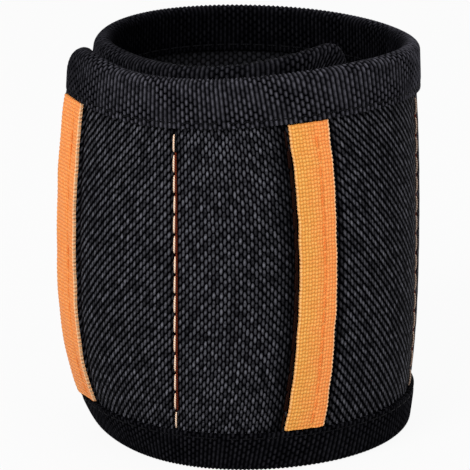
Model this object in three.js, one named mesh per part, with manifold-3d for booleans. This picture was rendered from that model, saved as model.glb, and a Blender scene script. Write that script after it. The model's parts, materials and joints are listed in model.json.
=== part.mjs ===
// Magnetic wristband, closed into a ring and standing on its lower edge.
// Each sheet is laid out flat, as it is cut and sewn: x runs along the band from the flap's free end,
// y goes from the outer face towards the wrist and z goes up across the band. The layout is then
// rolled up along a spiral, so that the tail lies inside the flap.

import * as THREE from 'three';
import { mergeVertices } from 'three/addons/utils/BufferGeometryUtils.js';
import Module from 'manifold-3d';

const wasm = await Module();
wasm.setup();

// Sizes of the flat band, in millimetres
const bandWidth = 90;
const bandLength = 327;
const shortPocket = 28.6;
const longPocket = 33.7;
const ribbonWidth = 10;
const ribbonMargin = 0.35;
const flapCornerRadius = 6;
const tailCornerRadius = 6;
const strapPanels = 4;

// Thicknesses
const coverThickness = 0.8;
const liningThickness = 0.8;
const foamThickness = 2.6;
const tapeThickness = 0.8;
const ribbonThickness = 0.6;
const threadThickness = 0.5;
const hookThickness = 1;
const loopThickness = 1.1;

// Edge binding and sewing
const topTapeLeg = 10.6;
const bottomTapeLeg = 9.1;
const flapTapeLeg = 2;
const tailTapeLeg = 12;
const foldEase = 0.6;
const threadWidth = 0.7;
const foamMargin = 2.6;
const seamFlat = 0.6;
const patchMargin = 2;

// Magnets
const magnetDiameter = 14;
const magnetThickness = 1.8;
const magnetWall = 2.4;
const magnetRows = ['bottom', 'middle', 'top'];

// Clearances
const layerGap = 0.3;
const foldGap = 0.3;
const closureGap = 0.5;
const magnetGap = 0.3;

// The ring that the band is rolled into, in millimetres and degrees: the tail goes inside the ring in
// two steps, first under the flap's thin end and then under the flap's padding
const ringRadius = 41.7;
const flapEndAngle = -78.3;
const tabInset = 6.6;
const insetStartAngle = 146;
const insetEndAngle = 262;
const paddingStartAngle = 265;
const paddingEndAngle = 302;

// How the soft band gives: its rims draw in, most of all beside the flap's end, its top edge waves
// and climbs to the flap's end, its tail climbs out of the roll and the cloth is sewn with a bow at
// the front ribbon
const topRimDraw = 1;
const bottomRimDraw = 2.3;
const topDraw = 3.9;
const bottomDraw = 9.6;
const topDrawPower = 2;
const bottomDrawPower = 3;
const drawAngle = -75;
const drawReach = 78;
const topWave = 2.2;
const waveAngle = 42;
const waveReach = 75;
const flapRise = 1.8;
const flapRiseStartAngle = -32;
const flapRiseEndAngle = -75;
const tailRise = 1.1;
const tailRiseStartAngle = 118;
const tailRiseEndAngle = 216;
const tipLift = 3;
const liftStartAngle = 345;
const liftEndAngle = 410;
const ribbonBow = 5;
const bowReach = 45;

// Fineness of the facets
const alongStep = 6;
const acrossSteps = 11;
const cornerSteps = 4;
const magnetSides = 20;

// Depths below the cover's outer face
const liningDepth = coverThickness + layerGap;
const foamDepth = coverThickness + layerGap;
const padding = foamThickness + layerGap;
const paddedDepth = liningDepth + padding + liningThickness;
const thinDepth = liningDepth + liningThickness;
const tapeInnerDepth = thinDepth + layerGap + tapeThickness;
const tapeOuterDepth = -layerGap - tapeThickness;
const hookDepth = paddedDepth + layerGap;
const loopOuterDepth = -layerGap - loopThickness;
const tailInset = hookDepth + hookThickness + closureGap - loopOuterDepth;
const edgeInset = tapeThickness + layerGap;

// Lengths of the panels between the folds
const ribbonSpace = ribbonWidth + 2 * ribbonMargin;
const tabLength = flapTapeLeg + ribbonSpace;
const ribbonPanel = ribbonSpace + longPocket;
const magnetLength = tabLength + 2 * shortPocket + 2 * ribbonPanel;
const strapPanel = (bandLength - magnetLength) / strapPanels;

const panelLengths = {
  tab: tabLength,
  flap: shortPocket,
  front: shortPocket,
  right: ribbonPanel,
  side: ribbonPanel,
  back: strapPanel,
  left: strapPanel,
  tail: strapPanel,
  tip: strapPanel,
};
const panels = {};
let reached = 0;
for (const [name, length] of Object.entries(panelLengths)) {
  panels[name] = { start: reached, end: reached + length };
  reached += length;
}

const bowMiddle = panels.right.start + ribbonMargin + ribbonWidth / 2;

// The spiral seen from above: angle 0 is the front, and angles grow towards the right
const { clamp, degToRad, euclideanModulo, lerp, radToDeg, smoothstep } = THREE.MathUtils;
const rollEndAngle = flapEndAngle + radToDeg(bandLength / (ringRadius - tailInset));

class RolledBand extends THREE.Curve {
  angleAt(t) {
    return lerp(flapEndAngle, rollEndAngle, t);
  }

  getPoint(t, target = new THREE.Vector3()) {
    const angle = this.angleAt(t);
    const underTab = tabInset * smoothstep(angle, insetStartAngle, insetEndAngle);
    const underPadding = smoothstep(angle, paddingStartAngle, paddingEndAngle);
    const radius = ringRadius - underTab - (tailInset - tabInset) * underPadding;
    const turn = degToRad(angle);
    return target.set(radius * Math.sin(turn), -radius * Math.cos(turn), 0);
  }
}

const spiral = new RolledBand();
spiral.arcLengthDivisions = 2000;
const spiralLength = spiral.getLength();

// A smooth rise to 1 and back, as far as the reach on both sides
function hump(offset, reach) {
  return 0.5 + 0.5 * Math.cos(Math.PI * clamp(Math.abs(offset) / reach, 0, 1));
}

// The shorter way round from one angle to another
function turnBetween(angle, other) {
  return euclideanModulo(angle - other + 180, 360) - 180;
}

// Where a height lies across the band: -1 at the bottom edge, 0 in the middle, 1 at the top edge
function acrossShare(height) {
  return (2 * height) / bandWidth - 1;
}

function drawnIn(angle, height) {
  const across = acrossShare(height);
  const nearDrawn = hump(turnBetween(angle, drawAngle), drawReach);
  if (across < 0) {
    return lerp(bottomRimDraw, bottomDraw, nearDrawn) * (-across) ** bottomDrawPower;
  }
  return lerp(topRimDraw, topDraw, nearDrawn) * across ** topDrawPower;
}

function risen(angle, height) {
  const wave = topWave * hump(turnBetween(angle, waveAngle), waveReach);
  const flap = flapRise * (1 - smoothstep(angle, flapRiseEndAngle, flapRiseStartAngle));
  const tail = tailRise * smoothstep(angle, tailRiseStartAngle, tailRiseEndAngle);
  const lifted = Math.max(0, (angle - liftStartAngle) / (liftEndAngle - liftStartAngle));
  return (wave + flap) * (height / bandWidth) + tail + tipLift * lifted * lifted;
}

// The rolled place of a point of the flat layout, with the directions there
function rolledFrame(along, depth, height) {
  const bow = ribbonBow * acrossShare(height) ** 2 * hump(along - bowMiddle, bowReach);
  const t = spiral.getUtoTmapping((along - bow) / spiralLength);
  const angle = spiral.angleAt(t);
  const tangent = spiral.getTangent(t);
  const inward = new THREE.Vector3(-tangent.y, tangent.x, 0);
  const point = spiral.getPoint(t).addScaledVector(inward, depth + drawnIn(angle, height));
  point.z = height + risen(angle, height);
  return { point, tangent };
}

function roll(geometry) {
  const position = geometry.attributes.position;
  for (let i = 0; i < position.count; i += 1) {
    const { point } = rolledFrame(position.getX(i), position.getY(i), position.getZ(i));
    position.setXYZ(i, point.x, point.y, point.z);
  }
  return geometry;
}

// Even levels from one value to another, no further apart than the step
function evenLevels(from, to, step) {
  const count = Math.max(1, Math.ceil((to - from) / step - 1e-6));
  return Array.from({ length: count + 1 }, (_, i) => lerp(from, to, i / count));
}

// How much lower than the rim a rounded corner of the band's outline is, inset from that outline
function cornerDrop(along, inset) {
  const nearFlap = along < bandLength / 2;
  const fromEnd = (nearFlap ? along : bandLength - along) - inset;
  const radius = Math.max((nearFlap ? flapCornerRadius : tailCornerRadius) - inset, 0);
  const short = clamp(radius - fromEnd, 0, radius);
  return radius - Math.sqrt(radius * radius - short * short);
}

// A closed sheet on a grid of levels along and across the band, between two depths
function sheet(alongLevels, bottom, top, acrossShares, outerDepth, innerDepth) {
  const last = alongLevels.length - 1;
  const lastShare = acrossShares.length - 1;
  const geometry = new THREE.BoxGeometry(1, 1, 1, last, 1, lastShare);
  const position = geometry.attributes.position;
  for (let i = 0; i < position.count; i += 1) {
    const along = alongLevels[Math.round((position.getX(i) + 0.5) * last)];
    const share = acrossShares[Math.round((position.getZ(i) + 0.5) * lastShare)];
    const height = lerp(bottom(along), top(along), share);
    const depth = position.getY(i) < 0 ? outerDepth : innerDepth;
    position.setXYZ(i, along, depth(along, height), height);
  }
  return roll(geometry);
}

const evenShares = evenLevels(0, 1, 1 / acrossSteps);
const flatAt = (depth) => () => depth;

// A sheet of one thickness with straight edges
function patch(from, to, bottom, top, outerDepth, innerDepth) {
  const levels = evenLevels(from, to, alongStep);
  return sheet(levels, flatAt(bottom), flatAt(top), evenShares, flatAt(outerDepth), flatAt(innerDepth));
}

// Levels along a panel, closer together at the rounded corners of a free end
function panelLevels(name, inset) {
  const { start, end } = panels[name];
  const from = start + foldGap / 2;
  const to = end - foldGap / 2;
  const corner = (radius) => {
    const step = Math.PI / 2 / cornerSteps;
    const round = radius - inset;
    return Array.from({ length: cornerSteps }, (_, i) => inset + round * (1 - Math.cos(i * step)));
  };
  if (name === 'tab') {
    return [...corner(flapCornerRadius), ...evenLevels(flapCornerRadius, to, alongStep)];
  }
  if (name === 'tip') {
    const turn = bandLength - tailCornerRadius;
    const rest = corner(tailCornerRadius).map((fromEnd) => bandLength - fromEnd);
    return [...evenLevels(from, turn, alongStep), ...rest.reverse()];
  }
  return evenLevels(from, to, alongStep);
}

const bottomEdge = (inset) => (along) => inset + cornerDrop(along, inset);
const topEdge = (inset) => (along) => bandWidth - inset - cornerDrop(along, inset);

// Pockets, each with one column of magnets, between a pair of sewn lines
const pockets = {
  flap: { start: panels.flap.start, end: panels.flap.end },
  front: { start: panels.front.start, end: panels.front.end },
  right: { start: panels.right.start + ribbonSpace, end: panels.right.end },
  side: { start: panels.side.start, end: panels.side.end - ribbonSpace },
};
const openBottom = bottomTapeLeg;
const openTop = bandWidth - topTapeLeg;
const foamBottom = openBottom + foamMargin;
const foamTop = openTop - foamMargin;
const magnetSpan = foamTop - foamBottom - 2 * magnetWall - magnetDiameter;
const magnetPitch = magnetSpan / (magnetRows.length - 1);
const rampLength = foamMargin - layerGap - seamFlat;

// The share of the padding's depth, which falls to nothing at the sewn lines and the bound edges
function paddedShare(pocket, along, height) {
  const fromSeam = Math.min(along - pocket.start, pocket.end - along) - seamFlat;
  const fromTape = Math.min(height - openBottom, openTop - height) - seamFlat;
  return clamp(Math.min(fromSeam, fromTape) / rampLength, 0, 1);
}

// Booleans
function toSolid(geometry) {
  const bare = geometry.clone();
  bare.deleteAttribute('normal');
  bare.deleteAttribute('uv');
  const merged = mergeVertices(bare, 1e-4);
  const mesh = new wasm.Mesh({
    numProp: 3,
    vertProperties: new Float32Array(merged.attributes.position.array),
    triVerts: new Uint32Array(merged.index.array),
  });
  return new wasm.Manifold(mesh);
}

function cutAway(geometry, cutters) {
  const solid = cutters.reduce((left, cutter) => left.subtract(toSolid(cutter)), toSolid(geometry));
  const { vertProperties, triVerts } = solid.getMesh();
  const result = new THREE.BufferGeometry();
  result.setAttribute('position', new THREE.BufferAttribute(vertProperties, 3));
  result.setIndex(new THREE.BufferAttribute(triVerts, 1));
  return result;
}

// Finishes
function finish(color, roughness, metalness = 0) {
  return new THREE.MeshStandardMaterial({ color, roughness, metalness });
}

const ballisticCloth = finish(0x1a1a1d, 0.75);
const liningCloth = finish(0x141416, 0.9);
const bindingTape = finish(0x202023, 0.7);
const orangeRibbon = finish(0xf58a3c, 0.7);
const orangeThread = finish(0xe39a68, 0.6);
const greyFoam = finish(0x4a4a4e, 0.95);
const nickelPlate = finish(0xc8c8c4, 0.3, 1);
const hookTape = finish(0x121214, 0.6);
const loopPile = finish(0x161618, 0.95);

const pieces = new THREE.Group();
function add(name, geometry, material) {
  const mesh = new THREE.Mesh(geometry, material);
  mesh.name = name;
  pieces.add(mesh);
  return mesh;
}

// Outer cover
for (const name of Object.keys(panels)) {
  const levels = panelLevels(name, edgeInset);
  const cover = sheet(
    levels,
    bottomEdge(edgeInset),
    topEdge(edgeInset),
    evenShares,
    flatAt(0),
    flatAt(coverThickness),
  );
  add(`cover_${name}`, cover, ballisticCloth);
}

// Lining, which goes round the padding of each pocket
function liningLevels(name, pocket) {
  const { start, end } = panels[name];
  const sewn = [pocket.start + seamFlat, pocket.end - seamFlat];
  const inner = [sewn[0] + rampLength, sewn[1] - rampLength];
  const levels = [sewn[0], ...evenLevels(inner[0], inner[1], alongStep), sewn[1]];
  levels.unshift(...evenLevels(start + foldGap / 2, sewn[0], alongStep).slice(0, -1));
  levels.push(...evenLevels(sewn[1], end - foldGap / 2, alongStep).slice(1));
  return levels;
}

const liningHeight = bandWidth - 2 * edgeInset;
const [lowFoot, lowHead, highHead, highFoot] = [
  openBottom + seamFlat,
  openBottom + seamFlat + rampLength,
  openTop - seamFlat - rampLength,
  openTop - seamFlat,
].map((height) => (height - edgeInset) / liningHeight);
const liningShares = [
  ...evenLevels(0, lowFoot, 1 / acrossSteps),
  ...evenLevels(lowHead, highHead, 1 / acrossSteps),
  ...evenLevels(highFoot, 1, 1 / acrossSteps),
];

for (const name of Object.keys(panels)) {
  const pocket = pockets[name];
  const levels = pocket ? liningLevels(name, pocket) : panelLevels(name, edgeInset);
  const pushed = (along, height) => (pocket ? padding * paddedShare(pocket, along, height) : 0);
  const lining = sheet(
    levels,
    bottomEdge(edgeInset),
    topEdge(edgeInset),
    pocket ? liningShares : evenShares,
    (along, height) => liningDepth + pushed(along, height),
    (along, height) => thinDepth + pushed(along, height),
  );
  add(`lining_${name}`, lining, liningCloth);
}

// Foam pads and magnets
for (const [name, pocket] of Object.entries(pockets)) {
  const pad = patch(
    pocket.start + foamMargin,
    pocket.end - foamMargin,
    foamBottom,
    foamTop,
    foamDepth,
    foamDepth + foamThickness,
  );
  const column = (pocket.start + pocket.end) / 2;
  const radius = magnetDiameter / 2;
  const sagitta = (radius * radius) / (2 * (ringRadius - foamDepth));
  const magnetDepth = foamDepth + sagitta + magnetGap / 2 + magnetThickness / 2;
  const holes = [];
  magnetRows.forEach((row, index) => {
    const height = foamBottom + magnetWall + radius + index * magnetPitch;
    const { point, tangent } = rolledFrame(column, magnetDepth, height);
    const above = rolledFrame(column, magnetDepth, height + radius).point;
    const below = rolledFrame(column, magnetDepth, height - radius).point;
    const up = above.sub(below);
    up.addScaledVector(tangent, -up.dot(tangent)).normalize();
    const place = new THREE.Matrix4().makeBasis(tangent, up.clone().cross(tangent), up);
    place.setPosition(point);
    const disc = new THREE.CylinderGeometry(radius, radius, magnetThickness, magnetSides);
    add(`magnet_${name}_${row}`, disc, nickelPlate).applyMatrix4(place);
    const holeRadius = (radius + magnetGap) / Math.cos(Math.PI / magnetSides);
    const hole = new THREE.CylinderGeometry(holeRadius, holeRadius, 4 * foamThickness, magnetSides);
    holes.push(hole.applyMatrix4(place));
  });
  add(`foam_${name}`, cutAway(pad, holes), greyFoam);
}

// Binding tape along the top and bottom edges: a folded strip, drawn as its section
function tapeSection(isTop) {
  const tapeLeg = isTop ? topTapeLeg : bottomTapeLeg;
  const legEnd = bandWidth - tapeLeg;
  const halfway = bandWidth - tapeLeg / 2;
  const fold = bandWidth - tapeThickness;
  const eased = bandWidth - foldEase;
  const points = [
    [tapeOuterDepth, halfway],
    [tapeOuterDepth, legEnd],
    [-layerGap, legEnd],
    [-layerGap, halfway],
    [-layerGap, fold],
    [tapeInnerDepth - tapeThickness, fold],
    [tapeInnerDepth - tapeThickness, halfway],
    [tapeInnerDepth - tapeThickness, legEnd],
    [tapeInnerDepth, legEnd],
    [tapeInnerDepth, halfway],
    [tapeInnerDepth, eased],
    [tapeInnerDepth - foldEase, bandWidth],
    [tapeOuterDepth + foldEase, bandWidth],
    [tapeOuterDepth, eased],
  ];
  return new THREE.Shape(
    points.map(([depth, height]) => new THREE.Vector2(depth, isTop ? height : bandWidth - height)),
  );
}

function foldedTape(from, to, isTop) {
  const length = to - from;
  const steps = Math.ceil(length / alongStep);
  const geometry = new THREE.ExtrudeGeometry(tapeSection(isTop), {
    depth: length,
    steps,
    bevelEnabled: false,
  });
  const position = geometry.attributes.position;
  for (let i = 0; i < position.count; i += 1) {
    position.setXYZ(i, from + position.getZ(i), position.getX(i), position.getY(i));
  }
  return roll(geometry);
}

// Binding tape at a free end, which turns both corners in one strip
function endTape(name) {
  const { start, end } = panels[name];
  const isTab = name === 'tab';
  const past = alongStep;
  const levels = panelLevels(name, 0);
  const shares = [0, foldEase / bandWidth, ...evenShares.slice(1, -1), 1 - foldEase / bandWidth, 1];
  const ease = (along, height) => {
    const fromEnd = isTab ? along : bandLength - along;
    const fromRim = Math.min(topEdge(0)(along) - height, height - bottomEdge(0)(along));
    return foldEase * clamp(1 - Math.min(fromEnd, fromRim) / foldEase, 0, 1);
  };
  const block = sheet(
    levels,
    bottomEdge(0),
    topEdge(0),
    shares,
    (along, height) => tapeOuterDepth + ease(along, height),
    (along, height) => tapeInnerDepth - ease(along, height),
  );
  const coreLevels = panelLevels(name, tapeThickness);
  if (isTab) {
    coreLevels.push(end + past);
  } else {
    coreLevels.unshift(start - past);
  }
  const core = sheet(
    coreLevels,
    bottomEdge(tapeThickness),
    topEdge(tapeThickness),
    evenShares,
    flatAt(-layerGap),
    flatAt(tapeInnerDepth - tapeThickness),
  );
  const window = patch(
    isTab ? flapTapeLeg : start - past,
    isTab ? end + past : bandLength - tailTapeLeg,
    openBottom,
    openTop,
    tapeOuterDepth - past,
    tapeInnerDepth + past,
  );
  return cutAway(block, [core, window]);
}

for (const [name, { start, end }] of Object.entries(panels)) {
  if (name === 'tab' || name === 'tip') {
    add(`end_binding_${name}`, endTape(name), bindingTape);
  } else {
    const from = start + foldGap / 2;
    const to = end - foldGap / 2;
    add(`top_binding_${name}`, foldedTape(from, to, true), bindingTape);
    add(`bottom_binding_${name}`, foldedTape(from, to, false), bindingTape);
  }
}

// Ribbons across the band, between the bound edges
const trimBottom = openBottom + layerGap;
const trimTop = openTop - layerGap;
const ribbonStarts = {
  tab: flapTapeLeg + ribbonMargin,
  right: panels.right.start + ribbonMargin,
  side: pockets.side.end + ribbonMargin,
};
for (const [name, start] of Object.entries(ribbonStarts)) {
  const outer = -layerGap - ribbonThickness;
  const ribbon = patch(start, start + ribbonWidth, trimBottom, trimTop, outer, -layerGap);
  add(`ribbon_${name}`, ribbon, orangeRibbon);
}

// Stitched lines that divide the pockets
const stitchedLines = {
  front_left: panels.front.start + foldGap,
  front_right: panels.front.end - foldGap - threadWidth,
  side: panels.side.start + foldGap,
};
for (const [name, start] of Object.entries(stitchedLines)) {
  const outer = -layerGap - threadThickness;
  const line = patch(start, start + threadWidth, trimBottom, trimTop, outer, -layerGap);
  add(`stitching_${name}`, line, orangeThread);
}

// Closure: hooks on the flap's inner face, loop pile on the tail's outer face
const patchBottom = foamBottom;
const patchTop = foamTop;
add(
  'hook_patch',
  patch(
    pockets.flap.start + foamMargin,
    pockets.flap.end - foamMargin,
    patchBottom,
    patchTop,
    hookDepth,
    hookDepth + hookThickness,
  ),
  hookTape,
);
const loopRuns = {
  tail: [panels.tail.start + patchMargin, panels.tail.end - foldGap / 2],
  tip: [panels.tip.start + foldGap / 2, bandLength - tailTapeLeg - patchMargin],
};
for (const [name, [from, to]] of Object.entries(loopRuns)) {
  add(`loop_patch_${name}`, patch(from, to, patchBottom, patchTop, loopOuterDepth, -layerGap), loopPile);
}

// The origin is under the middle of the ring's box, on the surface that it stands on
pieces.updateMatrixWorld(true);
const box = new THREE.Box3().setFromObject(pieces, true);
const middle = box.getCenter(new THREE.Vector3());
pieces.position.set(-middle.x, -middle.y, -box.min.z);

const wristband = new THREE.Group();
wristband.add(pieces);

export default wristband;
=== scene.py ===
# The looks of a magnetic wristband that is closed into a ring and stands on its lower edge.
# Cloth, tape, ribbon and thread are laid out flat, as they are cut and sewn, and then rolled up
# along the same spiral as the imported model. Flat sizes are in millimetres, and places in metres.
# A flat point has three numbers: along the band from the flap's free end, depth below the cover's
# outer face towards the wrist, and height above the lower edge.

import json
import math

import bmesh
import bpy
import numpy as np
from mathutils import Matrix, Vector


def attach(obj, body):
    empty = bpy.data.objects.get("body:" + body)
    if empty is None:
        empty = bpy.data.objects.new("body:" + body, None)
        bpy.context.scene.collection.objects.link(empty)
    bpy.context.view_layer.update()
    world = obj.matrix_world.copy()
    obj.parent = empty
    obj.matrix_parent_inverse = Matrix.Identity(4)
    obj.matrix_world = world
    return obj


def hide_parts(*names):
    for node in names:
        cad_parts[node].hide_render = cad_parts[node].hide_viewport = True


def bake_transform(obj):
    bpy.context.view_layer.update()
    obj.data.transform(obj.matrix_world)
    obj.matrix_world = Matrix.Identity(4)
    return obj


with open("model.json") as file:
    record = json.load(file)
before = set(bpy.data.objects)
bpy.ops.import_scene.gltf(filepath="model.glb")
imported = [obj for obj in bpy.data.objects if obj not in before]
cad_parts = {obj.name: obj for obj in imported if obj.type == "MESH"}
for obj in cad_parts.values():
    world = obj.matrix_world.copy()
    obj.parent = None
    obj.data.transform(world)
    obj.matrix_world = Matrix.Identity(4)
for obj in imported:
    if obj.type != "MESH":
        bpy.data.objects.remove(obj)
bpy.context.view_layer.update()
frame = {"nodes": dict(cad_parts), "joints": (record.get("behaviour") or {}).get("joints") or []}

MM = 0.001

# Sizes of the flat band
band_width = 90
band_length = 327
short_pocket = 28.6
long_pocket = 33.7
ribbon_width = 10
ribbon_margin = 0.35
stitch_margin = 0.65
flap_corner_radius = 6
tail_corner_radius = 6
strap_panels = 4
top_tape_leg = 10.6
bottom_tape_leg = 9.1
flap_tape_leg = 2
tail_tape_leg = 12
patch_margin = 2
trim_gap = 0.3
foam_margin = 2.6
edge_inset = 1.1

# Depths below the cover's outer face
cover_thickness = 0.8
thin_lining_depth = 1.9
lining_thickness = 0.8
padding = 2.9
tape_outer_depth = -1.05
tape_inner_depth = 3.0
tape_thickness = 0.8
ribbon_outer_depth = -0.75
ribbon_thickness = 0.6
hook_depth = 5.1
hook_backing = 0.5
loop_backing_depth = -0.3
loop_height = 1.1
tab_inset = 6.6
tail_inset = 8.0
hinge_depth = -1.5

# The ring that the band is rolled into, in millimetres and degrees. The tail goes inside it in two
# steps, first under the flap's thin end and then under the flap's padding.
ring_radius = 41.7
flap_end_angle = -78.3
inset_start_angle = 146
inset_end_angle = 262
padding_start_angle = 265
padding_end_angle = 302

# How the soft band gives: drawn-in rims, a wavy top edge that climbs to the flap's end, a climbing
# tail and a bow at the ribbon
top_rim_draw = 1
bottom_rim_draw = 2.3
top_draw = 3.9
bottom_draw = 9.6
top_draw_power = 2
bottom_draw_power = 3
draw_angle = -75
draw_reach = 78
top_wave = 2.2
wave_angle = 42
wave_reach = 75
flap_rise = 1.8
flap_rise_start_angle = -32
flap_rise_end_angle = -75
tail_rise = 1.1
tail_rise_start_angle = 118
tail_rise_end_angle = 216
tip_lift = 3
lift_start_angle = 345
lift_end_angle = 410
ribbon_bow = 5
bow_reach = 45

# Panels between the folds, and the pockets that hold the magnets
ribbon_space = ribbon_width + 2 * ribbon_margin
tab_length = flap_tape_leg + ribbon_space
ribbon_panel = ribbon_space + long_pocket
magnet_length = tab_length + 2 * short_pocket + 2 * ribbon_panel
strap_panel = (band_length - magnet_length) / strap_panels
panel_lengths = {
    "tab": tab_length,
    "flap": short_pocket,
    "front": short_pocket,
    "right": ribbon_panel,
    "side": ribbon_panel,
    "back": strap_panel,
    "left": strap_panel,
    "tail": strap_panel,
    "tip": strap_panel,
}
panel_names = list(panel_lengths)
panel_ends = np.cumsum(list(panel_lengths.values()))
panel_starts = panel_ends - np.array(list(panel_lengths.values()))
panel_middles = (panel_starts + panel_ends) / 2
start_of = dict(zip(panel_names, panel_starts))
end_of = dict(zip(panel_names, panel_ends))
middle_of = dict(zip(panel_names, panel_middles))
pockets = {
    "flap": (start_of["flap"], end_of["flap"]),
    "front": (start_of["front"], end_of["front"]),
    "right": (start_of["right"] + ribbon_space, end_of["right"]),
    "side": (start_of["side"], end_of["side"] - ribbon_space),
}
ribbons = {
    "ribbon_tab": (flap_tape_leg + ribbon_margin, ("tab", "flap")),
    "ribbon_right": (start_of["right"] + ribbon_margin, ("front", "right")),
    "ribbon_side": (end_of["side"] - ribbon_space + ribbon_margin, ("side", "back")),
}
stitch_lines = {
    "stitching_front_left": (start_of["front"] + stitch_margin, ("flap", "front")),
    "stitching_front_right": (end_of["front"] - stitch_margin, ("front", "right")),
    "stitching_side": (start_of["side"] + stitch_margin, ("right", "side")),
}
open_bottom = bottom_tape_leg
open_top = band_width - top_tape_leg
trim_bottom = open_bottom + trim_gap
trim_top = open_top - trim_gap
bow_middle = start_of["right"] + ribbon_margin + ribbon_width / 2

# Folds between neighbouring panels
folds = list(zip(panel_names[:-1], panel_names[1:]))

# Pitch of the binding tape's ribs
rib_pitch = 1.15

# Fineness of the meshes
cover_step = 0.6
cover_columns = 64
lining_step = 0.8
lining_columns = 56
steps_per_rib = 4
ribbon_columns = 61
ribbon_rows = 280
hook_step = 1
pile_step = 0.45
track_points = 12001


def smoothstep(value, low, high):
    share = np.clip((value - low) / (high - low), 0, 1)
    return share * share * (3 - 2 * share)


def hump(offset, reach):
    return 0.5 + 0.5 * np.cos(np.pi * np.clip(np.abs(offset) / reach, 0, 1))


def turn_between(angle, other):
    return (angle - other + 180) % 360 - 180


def ripple(place, wavelengths, key):
    """Waves of these lengths with phases of chance, between -1 and 1"""
    chance = np.random.default_rng(key)
    waves = [np.cos(2 * np.pi * (place / length + chance.random())) for length in wavelengths]
    return sum(waves) / len(waves)


# The spiral seen from above: angle 0 is the front, and angles grow towards the right
roll_end_angle = flap_end_angle + math.degrees(band_length / (ring_radius - tail_inset))
track_angle = np.linspace(flap_end_angle, roll_end_angle, track_points)
track_turn = np.radians(track_angle)
under_tab = smoothstep(track_angle, inset_start_angle, inset_end_angle)
under_padding = smoothstep(track_angle, padding_start_angle, padding_end_angle)
track_radius = ring_radius - tab_inset * under_tab - (tail_inset - tab_inset) * under_padding
track = np.stack([track_radius * np.sin(track_turn), -track_radius * np.cos(track_turn)], 1)
track_steps = np.linalg.norm(np.diff(track, axis=0), axis=1)
travelled = np.concatenate([[0], np.cumsum(track_steps)])
track_heading = np.gradient(track, axis=0)
track_heading /= np.linalg.norm(track_heading, axis=1, keepdims=True)


def rolled(flat):
    """Flat points rolled into the ring, in millimetres about the ring's own centre"""
    along, depth, height = np.moveaxis(np.asarray(flat, float), -1, 0)
    across = 2 * height / band_width - 1
    place = along - ribbon_bow * across**2 * hump(along - bow_middle, bow_reach)
    angle = np.interp(place, travelled, track_angle)
    x, y = (np.interp(place, travelled, track[:, i]) for i in range(2))
    heading_x, heading_y = (np.interp(place, travelled, track_heading[:, i]) for i in range(2))
    near_drawn = hump(turn_between(angle, draw_angle), draw_reach)
    below = bottom_rim_draw + (bottom_draw - bottom_rim_draw) * near_drawn
    above = top_rim_draw + (top_draw - top_rim_draw) * near_drawn
    below = below * np.maximum(0, -across) ** bottom_draw_power
    above = above * np.maximum(0, across) ** top_draw_power
    inward = depth + below + above
    wave = top_wave * hump(turn_between(angle, wave_angle), wave_reach)
    flap = flap_rise * (1 - smoothstep(angle, flap_rise_end_angle, flap_rise_start_angle))
    tail = tail_rise * smoothstep(angle, tail_rise_start_angle, tail_rise_end_angle)
    lifted = np.maximum(0, (angle - lift_start_angle) / (lift_end_angle - lift_start_angle))
    rise = (wave + flap) * height / band_width + tail + tip_lift * lifted**2
    return np.stack([x - heading_y * inward, y + heading_x * inward, height + rise], -1)


# Where the ring stands in the frame, read from the hinge between the front and right panels
hinge = next(joint for joint in frame["joints"] if joint["name"] == "unwrap")
hinge_flat = (start_of["right"], hinge_depth, band_width / 2)
ring_place = np.array(hinge["pos_m"]) - MM * rolled(hinge_flat)
ring_place[2] = 0


def placed(flat):
    return MM * rolled(flat) + ring_place


# Colours and nodes


def paint(code):
    """An sRGB hex value as a linear colour"""
    values = [int(code[i : i + 2], 16) / 255 for i in (1, 3, 5)]
    linear = [v / 12.92 if v <= 0.04045 else ((v + 0.055) / 1.055) ** 2.4 for v in values]
    return (*linear, 1)


def add_node(tree, kind, inputs=None, **settings):
    """A node with its settings, whose inputs are values, nodes or sockets"""
    node = tree.nodes.new("ShaderNode" + kind)
    for name, value in settings.items():
        setattr(node, name, value)
    for key, value in (inputs or {}).items():
        if isinstance(key, str):
            socket = next(s for s in node.inputs if s.enabled and s.name == key)
        else:
            socket = node.inputs[key]
        if isinstance(value, bpy.types.Node):
            value = next(s for s in value.outputs if s.enabled)
        if isinstance(value, bpy.types.NodeSocket):
            tree.links.new(value, socket)
        else:
            socket.default_value = value
    return node


def new_material(name):
    material = bpy.data.materials.new(name)
    material.use_nodes = True
    material.node_tree.nodes.clear()
    return material, material.node_tree


def give_surface(tree, inputs):
    shader = add_node(tree, "BsdfPrincipled", inputs)
    add_node(tree, "OutputMaterial", {"Surface": shader})


def edge_share(tree):
    """The share from 0 to 1 that a mesh keeps for its ribs, edges or seams, and how its floats lean. On
    the cover the share is painted shade beside the seams, and on the tape it carries a painted highlight
    on the ribs' crests and painted shade.
    """
    return add_node(tree, "SeparateXYZ", {0: add_node(tree, "UVMap", uv_map="edge")})


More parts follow.
